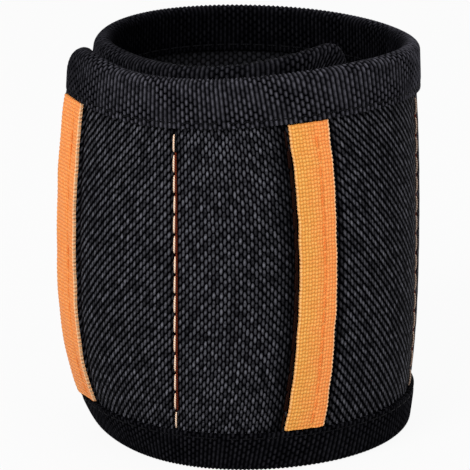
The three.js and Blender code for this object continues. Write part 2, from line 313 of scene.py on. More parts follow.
def woven(tree, thread, span, thread_share, span_share, wander, drop=0.5):
    """Raised threads in columns, every second column dropped by a share of the span: height and chance.
    Thread and span are a column's width and a repeat's length in millimetres."""
    cut = add_node(tree, "UVMap", uv_map="cut")
    drift = add_node(tree, "TexNoise", {"Vector": cut, "Scale": 0.22, "Detail": 2.0})
    inputs = {0: drift.outputs["Color"], 1: (wander, wander, 0), 2: cut}
    laid = add_node(tree, "VectorMath", inputs, operation="MULTIPLY_ADD")
    cell = add_node(tree, "VectorMath", {0: laid, 1: (thread, span, 1)}, operation="DIVIDE")
    column = add_node(tree, "Math", {0: add_node(tree, "SeparateXYZ", {0: cell})}, operation="FLOOR")
    odd = add_node(tree, "Math", {0: column, 1: 2}, operation="FLOORED_MODULO")
    inputs = {0: odd, 1: (0, drop, 0), 2: cell}
    stepped = add_node(tree, "VectorMath", inputs, operation="MULTIPLY_ADD")
    inside = add_node(tree, "VectorMath", {0: stepped}, operation="FRACTION")
    offset = add_node(tree, "VectorMath", {0: inside, 1: (0.5, 0.5, 0)}, operation="SUBTRACT")
    upward = add_node(tree, "SeparateXYZ", {0: offset}).outputs["Y"]
    inputs = {0: edge_share(tree).outputs["Y"], 1: upward}
    leaned = add_node(tree, "Math", inputs, operation="MULTIPLY")
    inputs = {0: leaned, 1: (span / thread, 0, 0), 2: offset}
    leaning = add_node(tree, "VectorMath", inputs, operation="MULTIPLY_ADD")
    half = (thread_share / 2, span_share / 2, 1)
    scaled = add_node(tree, "VectorMath", {0: leaning, 1: half}, operation="DIVIDE")
    reach = add_node(tree, "VectorMath", {0: scaled, 1: scaled}, operation="DOT_PRODUCT")
    inputs = {0: 1, 1: reach.outputs["Value"]}
    raised = add_node(tree, "Math", inputs, operation="SUBTRACT", use_clamp=True)
    number = add_node(tree, "VectorMath", {0: stepped}, operation="FLOOR")
    chance = add_node(tree, "TexWhiteNoise", {"Vector": number}, noise_dimensions="2D")
    return raised, chance.outputs["Value"]


def ballistic_polyester():
    """Coarse filament polyester: black floats with a painted highlight that shows as short grey dashes
    over near-black gaps, and painted shade that darkens them beside the seams and before the front
    ribbon."""
    material, tree = new_material("ballistic_polyester")
    raised, chance = woven(tree, 0.86, 1.9, 0.92, 0.95, 0.4)
    cut = add_node(tree, "UVMap", uv_map="cut")
    broken = add_node(tree, "TexNoise", {"Vector": cut, "Scale": 0.9, "Detail": 3.0}).outputs["Fac"]
    inputs = {"Value": broken, "From Min": 0.36, "From Max": 0.62, "To Min": 0.25, "To Max": 1.0}
    broken = add_node(tree, "MapRange", inputs)
    level = add_node(tree, "MapRange", {"Value": chance, "To Min": 0.3, "To Max": 1.1})
    # Painted shade beside the seams, which darkens the painted highlight on the float tops
    seam_shade_factor = add_node(tree, "MapRange", {"Value": edge_share(tree), "To Min": 1.0, "To Max": 0.12})
    shine = add_node(tree, "Math", {0: raised, 1: level}, operation="MULTIPLY")
    shine = add_node(tree, "Math", {0: shine, 1: broken}, operation="MULTIPLY")
    shine = add_node(tree, "Math", {0: shine, 1: seam_shade_factor}, operation="MULTIPLY")
    colours = {"Factor": shine, "A": paint("#010102"), "B": paint("#6b6b73")}
    colour = add_node(tree, "Mix", colours, data_type="RGBA")
    bump = add_node(tree, "Bump", {"Height": raised, "Strength": 0.9, "Distance": 0.3 * MM})
    inputs = {"Base Color": colour, "Normal": bump, "Roughness": 0.6, "IOR": 1.57}
    give_surface(tree, inputs | {"Specular IOR Level": 0.003})
    return material


def ribbed_tape():
    """Woven polyester tape: its cord-like ribs are in the mesh, with a painted highlight in grey on top
    and black between, painted shade on the inner leg, lower edge, tail and flap's end, and most ribs
    broken into rows of beads."""
    material, tree = new_material("ribbed_binding_tape")
    raised, chance = woven(tree, rib_pitch, 1.6, 1.6, 0.9, 0)
    level = add_node(tree, "MapRange", {"Value": chance, "To Min": 0.45, "To Max": 1.0})
    cut = add_node(tree, "UVMap", uv_map="cut")
    cloud = add_node(tree, "TexNoise", {"Vector": cut, "Scale": 0.12, "Detail": 2.0}).outputs["Fac"]
    inputs = {"Value": cloud, "From Min": 0.42, "From Max": 0.62, "To Max": 0.8}
    joined = add_node(tree, "MapRange", inputs)
    bead = add_node(tree, "Mix", {"Factor": joined, "A": raised, "B": 0.7})
    # Painted highlight on the ribs' crests, darkened by the tape's painted shade
    painted_crest_light = add_node(tree, "Math", {0: edge_share(tree), 1: 1.5}, operation="POWER")
    shine = add_node(tree, "Math", {0: painted_crest_light, 1: bead}, operation="MULTIPLY")
    shine = add_node(tree, "Math", {0: shine, 1: level}, operation="MULTIPLY")
    colours = {"Factor": shine, "A": paint("#010102"), "B": paint("#5f5e67")}
    colour = add_node(tree, "Mix", colours, data_type="RGBA")
    bump = add_node(tree, "Bump", {"Height": raised, "Strength": 0.6, "Distance": 0.15 * MM})
    inputs = {"Base Color": colour, "Normal": bump, "Roughness": 0.6, "IOR": 1.57}
    give_surface(tree, inputs | {"Specular IOR Level": 0.003})
    return material


def orange_polyester_ribbon():
    """Plain woven polyester ribbon: full bead-like threads from yellow to orange with a painted highlight
    on their tops, painted shade in the gaps, and pale woven edges that are partly a painted highlight."""
    material, tree = new_material("orange_polyester_ribbon")
    raised, chance = woven(tree, 0.8, 0.85, 1.2, 1.1, 0.25, drop=0.15)
    level = add_node(tree, "MapRange", {"Value": chance, "To Min": 0.55, "To Max": 1.0})
    shine = add_node(tree, "Math", {0: raised, 1: level}, operation="MULTIPLY")
    cut = add_node(tree, "UVMap", uv_map="cut")
    cloud = add_node(tree, "TexNoise", {"Vector": cut, "Scale": 0.35, "Detail": 3.0})
    across = add_node(tree, "SeparateXYZ", {0: cut})
    place = add_node(tree, "Math", {0: cloud.outputs["Fac"], 1: 7, 2: across}, operation="MULTIPLY_ADD")
    # Across each ribbon the colour goes from yellow at its left side to orange at its right, with a
    # cloudy border; the tab's is shifted towards orange
    across_tint = add_node(tree, "MapRange", {"Value": place, "From Min": 5.5, "From Max": 11.5})
    # Painted highlight on the thread tops (bright) and painted shade in the gaps between them
    colours = {"Factor": across_tint, "A": paint("#fbba5f"), "B": paint("#ffac5e")}
    bright = add_node(tree, "Mix", colours, data_type="RGBA")
    colours = {"Factor": across_tint, "A": paint("#dc882f"), "B": paint("#f48438")}
    gap_shade = add_node(tree, "Mix", colours, data_type="RGBA")
    weave = add_node(tree, "Mix", {"Factor": shine, "A": gap_shade, "B": bright}, data_type="RGBA")
    colours = {"Factor": edge_share(tree), "A": weave, "B": paint("#ffd2a2")}
    colour = add_node(tree, "Mix", colours, data_type="RGBA")
    bump = add_node(tree, "Bump", {"Height": raised, "Strength": 0.8, "Distance": 0.2 * MM})
    inputs = {"Base Color": colour, "Normal": bump, "Roughness": 0.55, "IOR": 1.57}
    give_surface(tree, inputs | {"Specular IOR Level": 0.2})
    return material


def spun_thread(name, dark, light):
    """Spun polyester sewing thread: plies twist round it in slanting bands."""
    material, tree = new_material(name)
    cut = add_node(tree, "UVMap", uv_map="cut")
    plies = {"Vector": cut, "Scale": 1.1, "Distortion": 0.6, "Detail": 1.0}
    twist = add_node(tree, "TexWave", plies, bands_direction="DIAGONAL").outputs["Fac"]
    colours = {"Factor": twist, "A": paint(dark), "B": paint(light)}
    colour = add_node(tree, "Mix", colours, data_type="RGBA")
    bump = add_node(tree, "Bump", {"Height": twist, "Strength": 0.5, "Distance": 0.1 * MM})
    inputs = {"Base Color": colour, "Normal": bump, "Roughness": 0.55, "IOR": 1.57}
    give_surface(tree, inputs | {"Specular IOR Level": 0.02})
    return material


def brushed_tricot():
    """Knitted polyamide lining with a brushed face: near black and matt, with faint wales."""
    material, tree = new_material("brushed_tricot_lining")
    raised, chance = woven(tree, 1.2, 1.6, 1.0, 0.95, 0.4)
    level = add_node(tree, "MapRange", {"Value": chance, "To Min": 0.5, "To Max": 1.0})
    shine = add_node(tree, "Math", {0: raised, 1: level}, operation="MULTIPLY")
    colours = {"Factor": shine, "A": paint("#070708"), "B": paint("#2a2a2e")}
    colour = add_node(tree, "Mix", colours, data_type="RGBA")
    bump = add_node(tree, "Bump", {"Height": raised, "Strength": 0.5, "Distance": 0.2 * MM})
    inputs = {"Base Color": colour, "Normal": bump, "Roughness": 0.9}
    give_surface(tree, inputs | {"Specular IOR Level": 0.01})
    return material


def closed_cell_foam():
    """Grey closed-cell foam: small cells make a rough, matt, spotted face."""
    material, tree = new_material("grey_closed_cell_foam")
    place = add_node(tree, "TexCoord").outputs["Object"]
    cells = add_node(tree, "TexVoronoi", {"Vector": place, "Scale": 1 / (0.9 * MM)})
    colours = {"Factor": cells, "A": paint("#2e2e32"), "B": paint("#5c5c62")}
    colour = add_node(tree, "Mix", colours, data_type="RGBA")
    bump = add_node(tree, "Bump", {"Height": cells, "Strength": 0.8, "Distance": 0.3 * MM})
    give_surface(tree, {"Base Color": colour, "Normal": bump, "Roughness": 0.95})
    return material


def nickel_plate():
    """Nickel plating on a pressed magnet: a bright, slightly warm metal with a fine satin grain."""
    material, tree = new_material("nickel_plated_magnet")
    place = add_node(tree, "TexCoord").outputs["Object"]
    grain = add_node(tree, "TexNoise", {"Vector": place, "Scale": 1 / (0.6 * MM), "Detail": 4.0})
    colours = {"Factor": grain, "A": paint("#b4b2ac"), "B": paint("#d8d6d0")}
    colour = add_node(tree, "Mix", colours, data_type="RGBA")
    rough = add_node(tree, "MapRange", {"Value": grain, "To Min": 0.18, "To Max": 0.38})
    give_surface(tree, {"Base Color": colour, "Metallic": 1.0, "Roughness": rough})
    return material


def hook_nylon():
    """Moulded nylon hooks: black, with the soft gloss of bare plastic."""
    material, tree = new_material("moulded_nylon_hooks")
    place = add_node(tree, "TexCoord").outputs["Object"]
    grain = add_node(tree, "TexNoise", {"Vector": place, "Scale": 1 / (1.5 * MM), "Detail": 2.0})
    colours = {"Factor": grain, "A": paint("#0c0c0e"), "B": paint("#26262a")}
    colour = add_node(tree, "Mix", colours, data_type="RGBA")
    inputs = {"Base Color": colour, "Roughness": 0.4, "IOR": 1.53}
    give_surface(tree, inputs | {"Specular IOR Level": 0.2})
    return material


def loop_pile():
    """Brushed nylon loops: a dark, matt fleece that brightens a little along its edges."""
    material, tree = new_material("brushed_nylon_loops")
    place = add_node(tree, "TexCoord").outputs["Object"]
    fibre = add_node(tree, "TexNoise", {"Vector": place, "Scale": 1 / (0.8 * MM), "Detail": 5.0})
    colours = {"Factor": fibre, "A": paint("#060607"), "B": paint("#26262a")}
    colour = add_node(tree, "Mix", colours, data_type="RGBA")
    bump = add_node(tree, "Bump", {"Height": fibre, "Strength": 0.9, "Distance": 0.4 * MM})
    inputs = {"Base Color": colour, "Normal": bump, "Roughness": 0.9}
    inputs |= {"Specular IOR Level": 0.1, "Sheen Weight": 0.05, "Sheen Roughness": 0.6}
    give_surface(tree, inputs)
    return material


cover_finish = ballistic_polyester()
tape = ribbed_tape()
ribbon_finish = orange_polyester_ribbon()
peach_thread = spun_thread("peach_sewing_thread", "#e0a87e", "#fff0dc")
# The side stitching's upper thread: the peach thread with painted shade
shaded_peach_thread = spun_thread("shaded_peach_sewing_thread", "#8c6850", "#ccb8a8")
# A rust strand beside the stitches: painted shade
rust_shade_thread = spun_thread("rust_shade_sewing_thread", "#34110a", "#6a2814")
# A near-black thread for the front right line: painted shadow from the ribbon's edge
shadow_thread = spun_thread("shadow_brown_sewing_thread", "#0e0605", "#24100a")
orange_thread = spun_thread("orange_sewing_thread", "#d9752e", "#f79550")
black_thread = spun_thread("black_sewing_thread", "#040405", "#141417")
lining_finish = brushed_tricot()
foam_finish = closed_cell_foam()
nickel = nickel_plate()
hooks_finish = hook_nylon()
loops_finish = loop_pile()


# Meshes


def flat_points(along, depth, height):
    return np.stack(np.broadcast_arrays(along, depth, height), -1).astype(float)


def slab(outer, inner, cut, edge=0, lean=0):
    """A closed sheet between two grids of flat points, with its place in the flat cut"""
    rows, columns = outer.shape[:2]
    count = rows * columns
    face = np.arange(count).reshape(rows, columns)
    back = face + count
    border = np.concatenate([face[:-1, 0], face[-1, :-1], face[:0:-1, -1], face[0, :0:-1]])
    following = np.roll(border, -1)
    rims = np.stack([border, following], 1)
    quads = [
        np.stack([face[:-1, :-1], face[1:, :-1], face[1:, 1:], face[:-1, 1:]], -1).reshape(-1, 4),
        np.stack([back[:-1, :-1], back[:-1, 1:], back[1:, 1:], back[1:, :-1]], -1).reshape(-1, 4),
        np.stack([following, border, border + count, following + count], -1),
    ]
    broad = len(quads[0]) + len(quads[1])
    faces = np.concatenate(quads)
    shares = flat_points(edge, lean, np.zeros((rows, columns)))[..., :2]
    return {
        "points": np.concatenate([outer.reshape(-1, 3), inner.reshape(-1, 3)]),
        "faces": faces,
        "rims": np.concatenate([rims, rims + count]),
        "smooth": np.arange(len(faces)) < broad,
        "cut": np.tile(cut.reshape(-1, 2), (2, 1)),
        "edge": np.tile(shares.reshape(-1, 2), (2, 1)),
        "finish": np.zeros(len(faces), int),
    }


def threads(starts, ends, depth, radius, lift, finish=0):
    """Stitches between pairs of (along, height): short threads that leave the cloth and sink back"""
    shares = np.array([0, 0.06, 0.2, 0.4, 0.6, 0.8, 0.94, 1])
    round_it = 2 * np.pi * np.arange(6) / 6
    run = ends - starts
    length = np.linalg.norm(run, axis=1, keepdims=True)
    side = np.stack([-run[:, 1], run[:, 0]], 1) / length
    bell = np.sin(np.pi * shares)
    taper = 0.6 + 0.4 * np.clip(bell * 3, 0, 1)
    middle = starts[:, None, :] + run[:, None, :] * shares[None, :, None]
    sideways = radius * taper[:, None] * np.cos(round_it)[None, :]
    plane = middle[:, :, None, :] + side[:, None, None, :] * sideways[None, :, :, None]
    sunk = depth - lift * np.sqrt(bell)[:, None] - radius * taper[:, None] * np.sin(round_it)[None, :]
    sunk = np.broadcast_to(sunk, plane.shape[:3])
    points = np.stack([plane[..., 0], sunk, plane[..., 1]], -1)
    count, rings, sides = points.shape[:3]
    ids = np.arange(count * rings * sides).reshape(count, rings, sides)
    after = np.roll(ids, -1, axis=2)
    wall = np.stack([ids[:, :-1], after[:, :-1], after[:, 1:], ids[:, 1:]], -1).reshape(-1, 4)
    caps = []
    for ring, order in ((0, (0, 3, 2, 1)), (0, (0, 5, 4, 3)), (-1, (0, 1, 2, 3)), (-1, (0, 3, 4, 5))):
        caps.append(ids[:, ring][:, order])
    faces = np.concatenate([wall, *caps])
    spun = np.broadcast_arrays(round_it / (2 * np.pi), (shares * length)[:, :, None])
    return {
        "points": points.reshape(-1, 3),
        "faces": faces,
        "rims": np.zeros((0, 2), int),
        "smooth": np.full(len(faces), True),
        "cut": np.stack(spun, -1).reshape(-1, 2),
        "edge": np.zeros((count * rings * sides, 2)),
        "finish": np.full(len(faces), finish),
    }


def outward(points, faces):
    """Faces turned so that a closed shape has its outside out"""
    a, b, c, d = (points[faces[:, i]] for i in range(4))
    volume = np.einsum("ij,ij->", a, np.cross(b, c)) + np.einsum("ij,ij->", a, np.cross(c, d))
    return faces if volume > 0 else faces[:, ::-1]


def make_piece(name, shapes, finishes):
    """One object of several closed shapes, rolled into the ring"""
    points, faces, rims, first = [], [], [], 0
    for shape in shapes:
        rolled_points = placed(shape["points"])
        points.append(rolled_points)
        middle = rolled_points.mean(0)
        faces.append(outward(rolled_points - middle, shape["faces"]) + first)
        rims.append(shape["rims"] + first)
        first += len(rolled_points)
    mesh = bpy.data.meshes.new(name)
    mesh.from_pydata(np.concatenate(points).tolist(), [], np.concatenate(faces).tolist())
    mesh.polygons.foreach_set("use_smooth", np.concatenate([s["smooth"] for s in shapes]))
    mesh.polygons.foreach_set("material_index", np.concatenate([s["finish"] for s in shapes]))
    corners = np.zeros(len(mesh.loops), int)
    mesh.loops.foreach_get("vertex_index", corners)
    cut = np.concatenate([s["cut"] for s in shapes])
    mesh.uv_layers.new(name="cut").data.foreach_set("uv", cut[corners].ravel())
    edge = np.concatenate([s["edge"] for s in shapes])
    mesh.uv_layers.new(name="edge").data.foreach_set("uv", edge[corners].ravel())
    pairs = np.zeros(2 * len(mesh.edges), int)
    mesh.edges.foreach_get("vertices", pairs)
    number = np.array([first, 1])
    pair_numbers = np.sort(pairs.reshape(-1, 2), axis=1) @ number
    rim_numbers = np.sort(np.concatenate(rims), axis=1) @ number
    sharp = mesh.attributes.new("sharp_edge", "BOOLEAN", "EDGE")
    sharp.data.foreach_set("value", np.isin(pair_numbers, rim_numbers))
    for finish in finishes:
        mesh.materials.append(finish)
    piece = bpy.data.objects.new(name, mesh)
    bpy.context.scene.collection.objects.link(piece)
    return piece


def bend(piece):
    """The piece's placement is baked into its mesh"""
    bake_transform(piece)


def even(low, high, step):
    return np.linspace(low, high, max(2, math.ceil((high - low) / step) + 1))


def corner_drop(along, inset):
    """How far a rounded corner lowers the band's outline, inset from that outline"""
    near_flap = along < band_length / 2
    from_end = np.where(near_flap, along, band_length - along) - inset
    radius = np.where(near_flap, flap_corner_radius, tail_corner_radius) - inset
    short = np.clip(radius - from_end, 0, radius)
    return radius - np.sqrt(radius**2 - short**2)


def panel_grid(low, high, step, columns):
    """Along and height over a stretch of the band, inside its outline"""
    along = even(low, high, step)[:, None]
    share = np.linspace(0, 1, columns)[None, :]
    drop = edge_inset + corner_drop(along, edge_inset)
    height = drop + (band_width - 2 * drop) * share
    return np.broadcast_to(along, height.shape), height


# Outer cover and lining
sewn_lines = [place for place, _ in stitch_lines.values()]
sewn_lines += [pockets["flap"][0], pockets["right"][0], pockets["side"][1]]
pocket_crowns = {"flap": 0.5, "front": 0.5, "right": 0.9, "side": 0.9}
crown_power = 0.6
sewn_dip = 0.4
sewn_reach = 1.2
back_dip = 0.2
pucker = 0.12
pucker_reach = 5
strap_wave = 0.22
strap_wave_start = 20
lining_wave = 0.1
pad_slope_start = 0.2
pad_slope_end = 2.5
# Reach of the painted shade beside the sewn lines and before the front ribbon
seam_shade_reach = 0.9
float_lean = 0.4
upright_at = 57
lean_reach = 40
ribbon_shade_reach = 4


def cover_face(along, height):
    """Depth of the cover's outer face: pockets swell, and sewn lines dip with puckers beside them"""
    face = np.zeros(along.shape)
    across = np.clip((height - open_bottom) / (open_top - open_bottom), 0, 1)
    for name, (low, high) in pockets.items():
        share = np.clip((along - low) / (high - low), 0, 1)
        face -= pocket_crowns[name] * (16 * share * (1 - share) * across * (1 - across)) ** crown_power
    for key, line in enumerate(sewn_lines):
        away = np.abs(along - line)
        face += sewn_dip * np.exp(-((away / sewn_reach) ** 2))
        face += pucker * np.exp(-away / pucker_reach) * ripple(height, (3.7, 5.9, 9.1), key)
    plain = smoothstep(along, start_of["back"], start_of["back"] + strap_wave_start)
    return face + strap_wave * plain * ripple(along + 0.3 * height, (27, 43), 20)


def painted_seam_shade(along):
    """Painted shade on the cover beside the sewn lines, widest before the front ribbon"""
    seam_shade = np.zeros(along.shape)
    for line in sewn_lines:
        seam_shade = np.maximum(seam_shade, np.exp(-(((along - line) / seam_shade_reach) ** 2)))
    from_ribbon = start_of["right"] - along
    beside = np.exp(-((from_ribbon / ribbon_shade_reach) ** 2)) * (from_ribbon > 0)
    return np.maximum(seam_shade, beside)


def lining_face(along, height):
    """Depth of the lining's inner face, which goes round the padding of each pocket"""
    padded = np.zeros(along.shape)
    for low, high in pockets.values():
        from_seam = np.minimum(along - low, high - along)
        from_tape = np.minimum(height - open_bottom, open_top - height)
        padded += smoothstep(np.minimum(from_seam, from_tape), pad_slope_start, pad_slope_end)
    wave = lining_wave * ripple(along + 0.5 * height, (9, 17, 31), 30)
    return thin_lining_depth + padding * padded + wave


for number, fold in enumerate(folds):
    low = edge_inset if number == 0 else panel_middles[number]
    high = band_length - edge_inset if number == len(folds) - 1 else panel_middles[number + 1]
    stood_for = fold if number == len(folds) - 1 else fold[:1]
    name = "_".join(fold)

    along, height = panel_grid(low, high, cover_step, cover_columns)
    face = cover_face(along, height)
    outer = flat_points(along, face, height)
    inner = flat_points(along, np.minimum(face, back_dip) + cover_thickness, height)
    lean = float_lean * np.clip((along - upright_at) / lean_reach, -1, 1)
    # The cover's edge channel carries the painted shade beside the seams
    cloth = slab(outer, inner, outer[..., ::2], painted_seam_shade(along), lean)
    cover = make_piece(f"cover_{name}", [cloth], [cover_finish])
    bend(cover)
    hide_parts(*(f"cover_{panel}" for panel in stood_for))

    along, height = panel_grid(low, high, lining_step, lining_columns)
    face = lining_face(along, height)
    outer = flat_points(along, face - lining_thickness, height)
    inner = flat_points(along, face, height)
    cloth = slab(outer, inner, inner[..., ::2])
    lining = make_piece(f"lining_{name}", [cloth], [lining_finish])
    bend(lining)
    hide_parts(*(f"lining_{panel}" for panel in stood_for))


# Edge binding: a ribbed tape folded over the rim, with a row of stitches on each face
rib_height = 0.16
fold_round = 1.6
fold_leg = 10
full_leg = 8
thin_share = 0.72
faint_rib = 0.25
turn_reach = 2
# Painted shade on the tape's inner leg, lower edge, tail and flap's end
inner_leg_shade = 0.75
lower_edge_shade = 0.65
tail_shade = 0.5
flap_end_shade = 0.55
gather_radius = 1.2
tape_stitch = 2.6
tape_stitch_gap = 0.7
tape_stitch_radius = 0.2
tape_stitch_lift = 0.1
tape_seam_share = 0.88
tape_seam_reach = 0.05
tape_seam_dip = 0.2
tape_tuck = 0.15
tape_tuck_share = 0.92
tape_middle = (tape_outer_depth + tape_inner_depth) / 2


def tape_section():
    """Across the tape: leg share and depth of its skin, the same for its core, and the way round"""
    leg = np.array([1, 0.97, 0.925, 0.88, 0.84, 0.78, 0.67, 0.54, 0.42, 0.3, 0.2])
    turn = np.radians(np.linspace(0, 180, 11))
    half = (tape_inner_depth - tape_outer_depth) / 2
    core = half - tape_thickness
    dip = tape_seam_dip * np.exp(-(((leg - tape_seam_share) / tape_seam_reach) ** 2))
    tucked = tape_tuck * smoothstep(leg, tape_tuck_share, 1)
    outer_leg = tape_outer_depth + dip + tucked
    inner_leg = (tape_inner_depth - dip - tucked)[::-1]
    fold = fold_round * (1 - np.sin(turn)) / fold_leg
    core_fold = fold + tape_thickness * np.sin(turn) / fold_leg
    share = np.concatenate([leg, fold, leg[::-1]])
    face = np.concatenate([outer_leg, tape_middle - half * np.cos(turn), inner_leg])
    core_share = np.concatenate([leg, core_fold, leg[::-1]])
    core_face = np.concatenate(
        [outer_leg + tape_thickness, tape_middle - core * np.cos(turn), inner_leg - tape_thickness]
    )
    way = np.concatenate([[0], np.cumsum(np.hypot(fold_leg * np.diff(share), np.diff(face)))])
    return share, face, core_share, core_face, way


def rim_path(corners):
    """Points along the rim, from corner points joined by straight runs, with the ribs passed at each"""
    corners = np.array(corners, float)
    steps = np.linalg.norm(np.diff(corners, axis=0), axis=1)
    reached = np.concatenate([[0], np.cumsum(steps)])
    ribs = round(reached[-1] / rib_pitch)
    passed = np.linspace(0, ribs, ribs * steps_per_rib + 1)
    at = passed * reached[-1] / ribs
    path = np.stack([np.interp(at, reached, corners[:, i]) for i in range(2)], 1)
    return path, at, passed


def leg_foot(rim, at):
    """Where the tape's leg ends under each rim point; at a corner it is gathered round a small arc"""
    along = np.clip(rim[:, 0], flap_tape_leg, band_length - tail_tape_leg)
    foot = np.stack([along, np.clip(rim[:, 1], open_bottom, open_top)], 1)
    for end, inward in ((flap_tape_leg, 1), (band_length - tail_tape_leg, -1)):
        for edge, upward in ((open_bottom, 1), (open_top, -1)):
            sides = np.array([inward, upward])
            centre = np.array([end, edge]) + gather_radius * sides
            near = ((rim - centre) * sides < 0).all(1)
            if near.any():
                share = (at[near] - at[near].min()) / np.ptp(at[near])
                turn = np.pi / 2 * (share if upward == 1 else 1 - share)
                arc = np.stack([np.sin(turn), np.cos(turn)], 1)
                foot[near] = centre - gather_radius * sides * arc
    return foot


def tape_stitches(seam, depth, lift):
    """A row of stitches along the tape's sewn edge"""
    reached = np.concatenate([[0], np.cumsum(np.linalg.norm(np.diff(seam, axis=0), axis=1))])
    begin = np.arange(tape_stitch_gap, reached[-1] - tape_stitch, tape_stitch + tape_stitch_gap)
    starts, ends = (
        np.stack([np.interp(place, reached, seam[:, i]) for i in range(2)], 1)
        for place in (begin, begin + tape_stitch)
    )
    return threads(starts, ends, depth, tape_stitch_radius, lift, finish=1)


def painted_tape_shade(rim):
    """How much painted shade the tape gets, against none along the front's upper edge: at the lower edge,
    on the tail and at the flap's end"""
    on_tail = tail_shade * smoothstep(rim[:, 0], start_of["back"], start_of["tail"])
    at_flap = flap_end_shade * (1 - smoothstep(rim[:, 0], 0, middle_of["flap"]))
    return lower_edge_shade + (on_tail + at_flap - lower_edge_shade) * rim[:, 1] / band_width


def bind(name, corners, stood_for):
    """A stretch of binding along the rim, flatter where its leg is short"""
    rim, at, passed = rim_path(corners)
    toward = leg_foot(rim, at) - rim
    share, face, core_share, core_face, way = tape_section()
    fullness = smoothstep(np.linalg.norm(toward, axis=1), flap_tape_leg, full_leg)[:, None]
    flatter = thin_share + (1 - thin_share) * fullness
    face = tape_middle + (face - tape_middle) * flatter
    core_face = tape_middle + (core_face - tape_middle) * flatter
    rib = -np.cos(2 * np.pi * passed)[:, None] * (faint_rib + (1 - faint_rib) * fullness)
    half_way = way[-1] / 2
    turned = 1 - 2 * smoothstep(way, half_way - turn_reach, half_way + turn_reach)
    lean = np.sqrt(np.clip(1 - turned**2, 0, 1))
    skin_share = share - rib_height * rib * lean / fold_leg
    skin = rim[:, None, :] + toward[:, None, :] * skin_share[:, :, None]
    core = rim[:, None, :] + toward[:, None, :] * core_share[None, :, None]
    outer = flat_points(skin[..., 0], face - rib_height * rib * turned, skin[..., 1])
    inner = flat_points(core[..., 0], core_face, core[..., 1])
    cut = np.stack(np.broadcast_arrays(rib_pitch * passed[:, None], way), -1)
    seam = rim + toward * tape_seam_share
    # Painted shade on the tape's inner leg and along its lower edge, tail and flap's end; the ribs'
    # crests carry a painted highlight
    lit = 1 - inner_leg_shade * smoothstep(way, half_way - turn_reach / 2, half_way + turn_reach)
    lit = lit * (1 - painted_tape_shade(rim))[:, None]
    shapes = [
        slab(outer, inner, cut, (0.5 + 0.5 * rib) * lit),
        tape_stitches(seam, tape_outer_depth + tape_seam_dip, tape_stitch_lift),
        tape_stitches(seam, tape_inner_depth - tape_seam_dip, -tape_stitch_lift),
    ]
    piece = make_piece(name, shapes, [tape, black_thread])
    bend(piece)
    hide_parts(*stood_for)


def end_corners(radius, end, inner_end):
    """The rim round a free end, from the lower edge to the upper edge"""
    inward = 1 if end == 0 else -1
    turn = np.radians(np.linspace(0, 90, 16))
    lower = np.stack([end + inward * radius * (1 - np.sin(turn)), radius * (1 - np.cos(turn))], 1)
    upper = np.stack([lower[::-1, 0], band_width - lower[::-1, 1]], 1)
    return np.concatenate([[(inner_end, 0)], lower, upper, [(inner_end, band_width)]])


for fold in folds[1:-1]:
    name = "_".join(fold)
    stretch = (middle_of[fold[0]], middle_of[fold[1]])
    for edge, height in (("top", band_width), ("bottom", 0)):
        corners = [(place, height) for place in stretch]
        bind(f"{edge}_binding_{name}", corners, [f"{edge}_binding_{fold[0]}"])
bind(
    "end_binding_tab_flap",
    end_corners(flap_corner_radius, 0, middle_of["flap"]),
    ["end_binding_tab"],
)
bind(
    "end_binding_tail_tip",
    end_corners(tail_corner_radius, band_length, middle_of["tail"]),
    ["end_binding_tip", "top_binding_tail", "bottom_binding_tail"],
)


# Orange ribbons, each sewn down along a line at two thirds of its width, with beaded sides
ribbon_seam_share = 0.66
ribbon_seam_dip = 0.12
ribbon_seam_reach = 0.06
ribbon_stitch = 2.8
ribbon_stitch_gap = 0.5
ribbon_stitch_start = 1
ribbon_stitch_radius = 0.16
ribbon_stitch_lift = 0.08
selvedge = 0.32
ribbon_waist = 1.0
ribbon_sway = 0.13
ribbon_swell = 0.1
ribbon_scallop = 0.07
bead_height = 0.06
side_drop = 0.15
side_reach = 0.4
fray = 0.08
fray_reach = 1.5
proud_edges = {"ribbon_tab": 0.7}
proud_share = 0.8
tint_shifts = {"ribbon_tab": 6}
dull_selvedge = 0.35
edge_bead = 1.0
bead_shade = 0.3

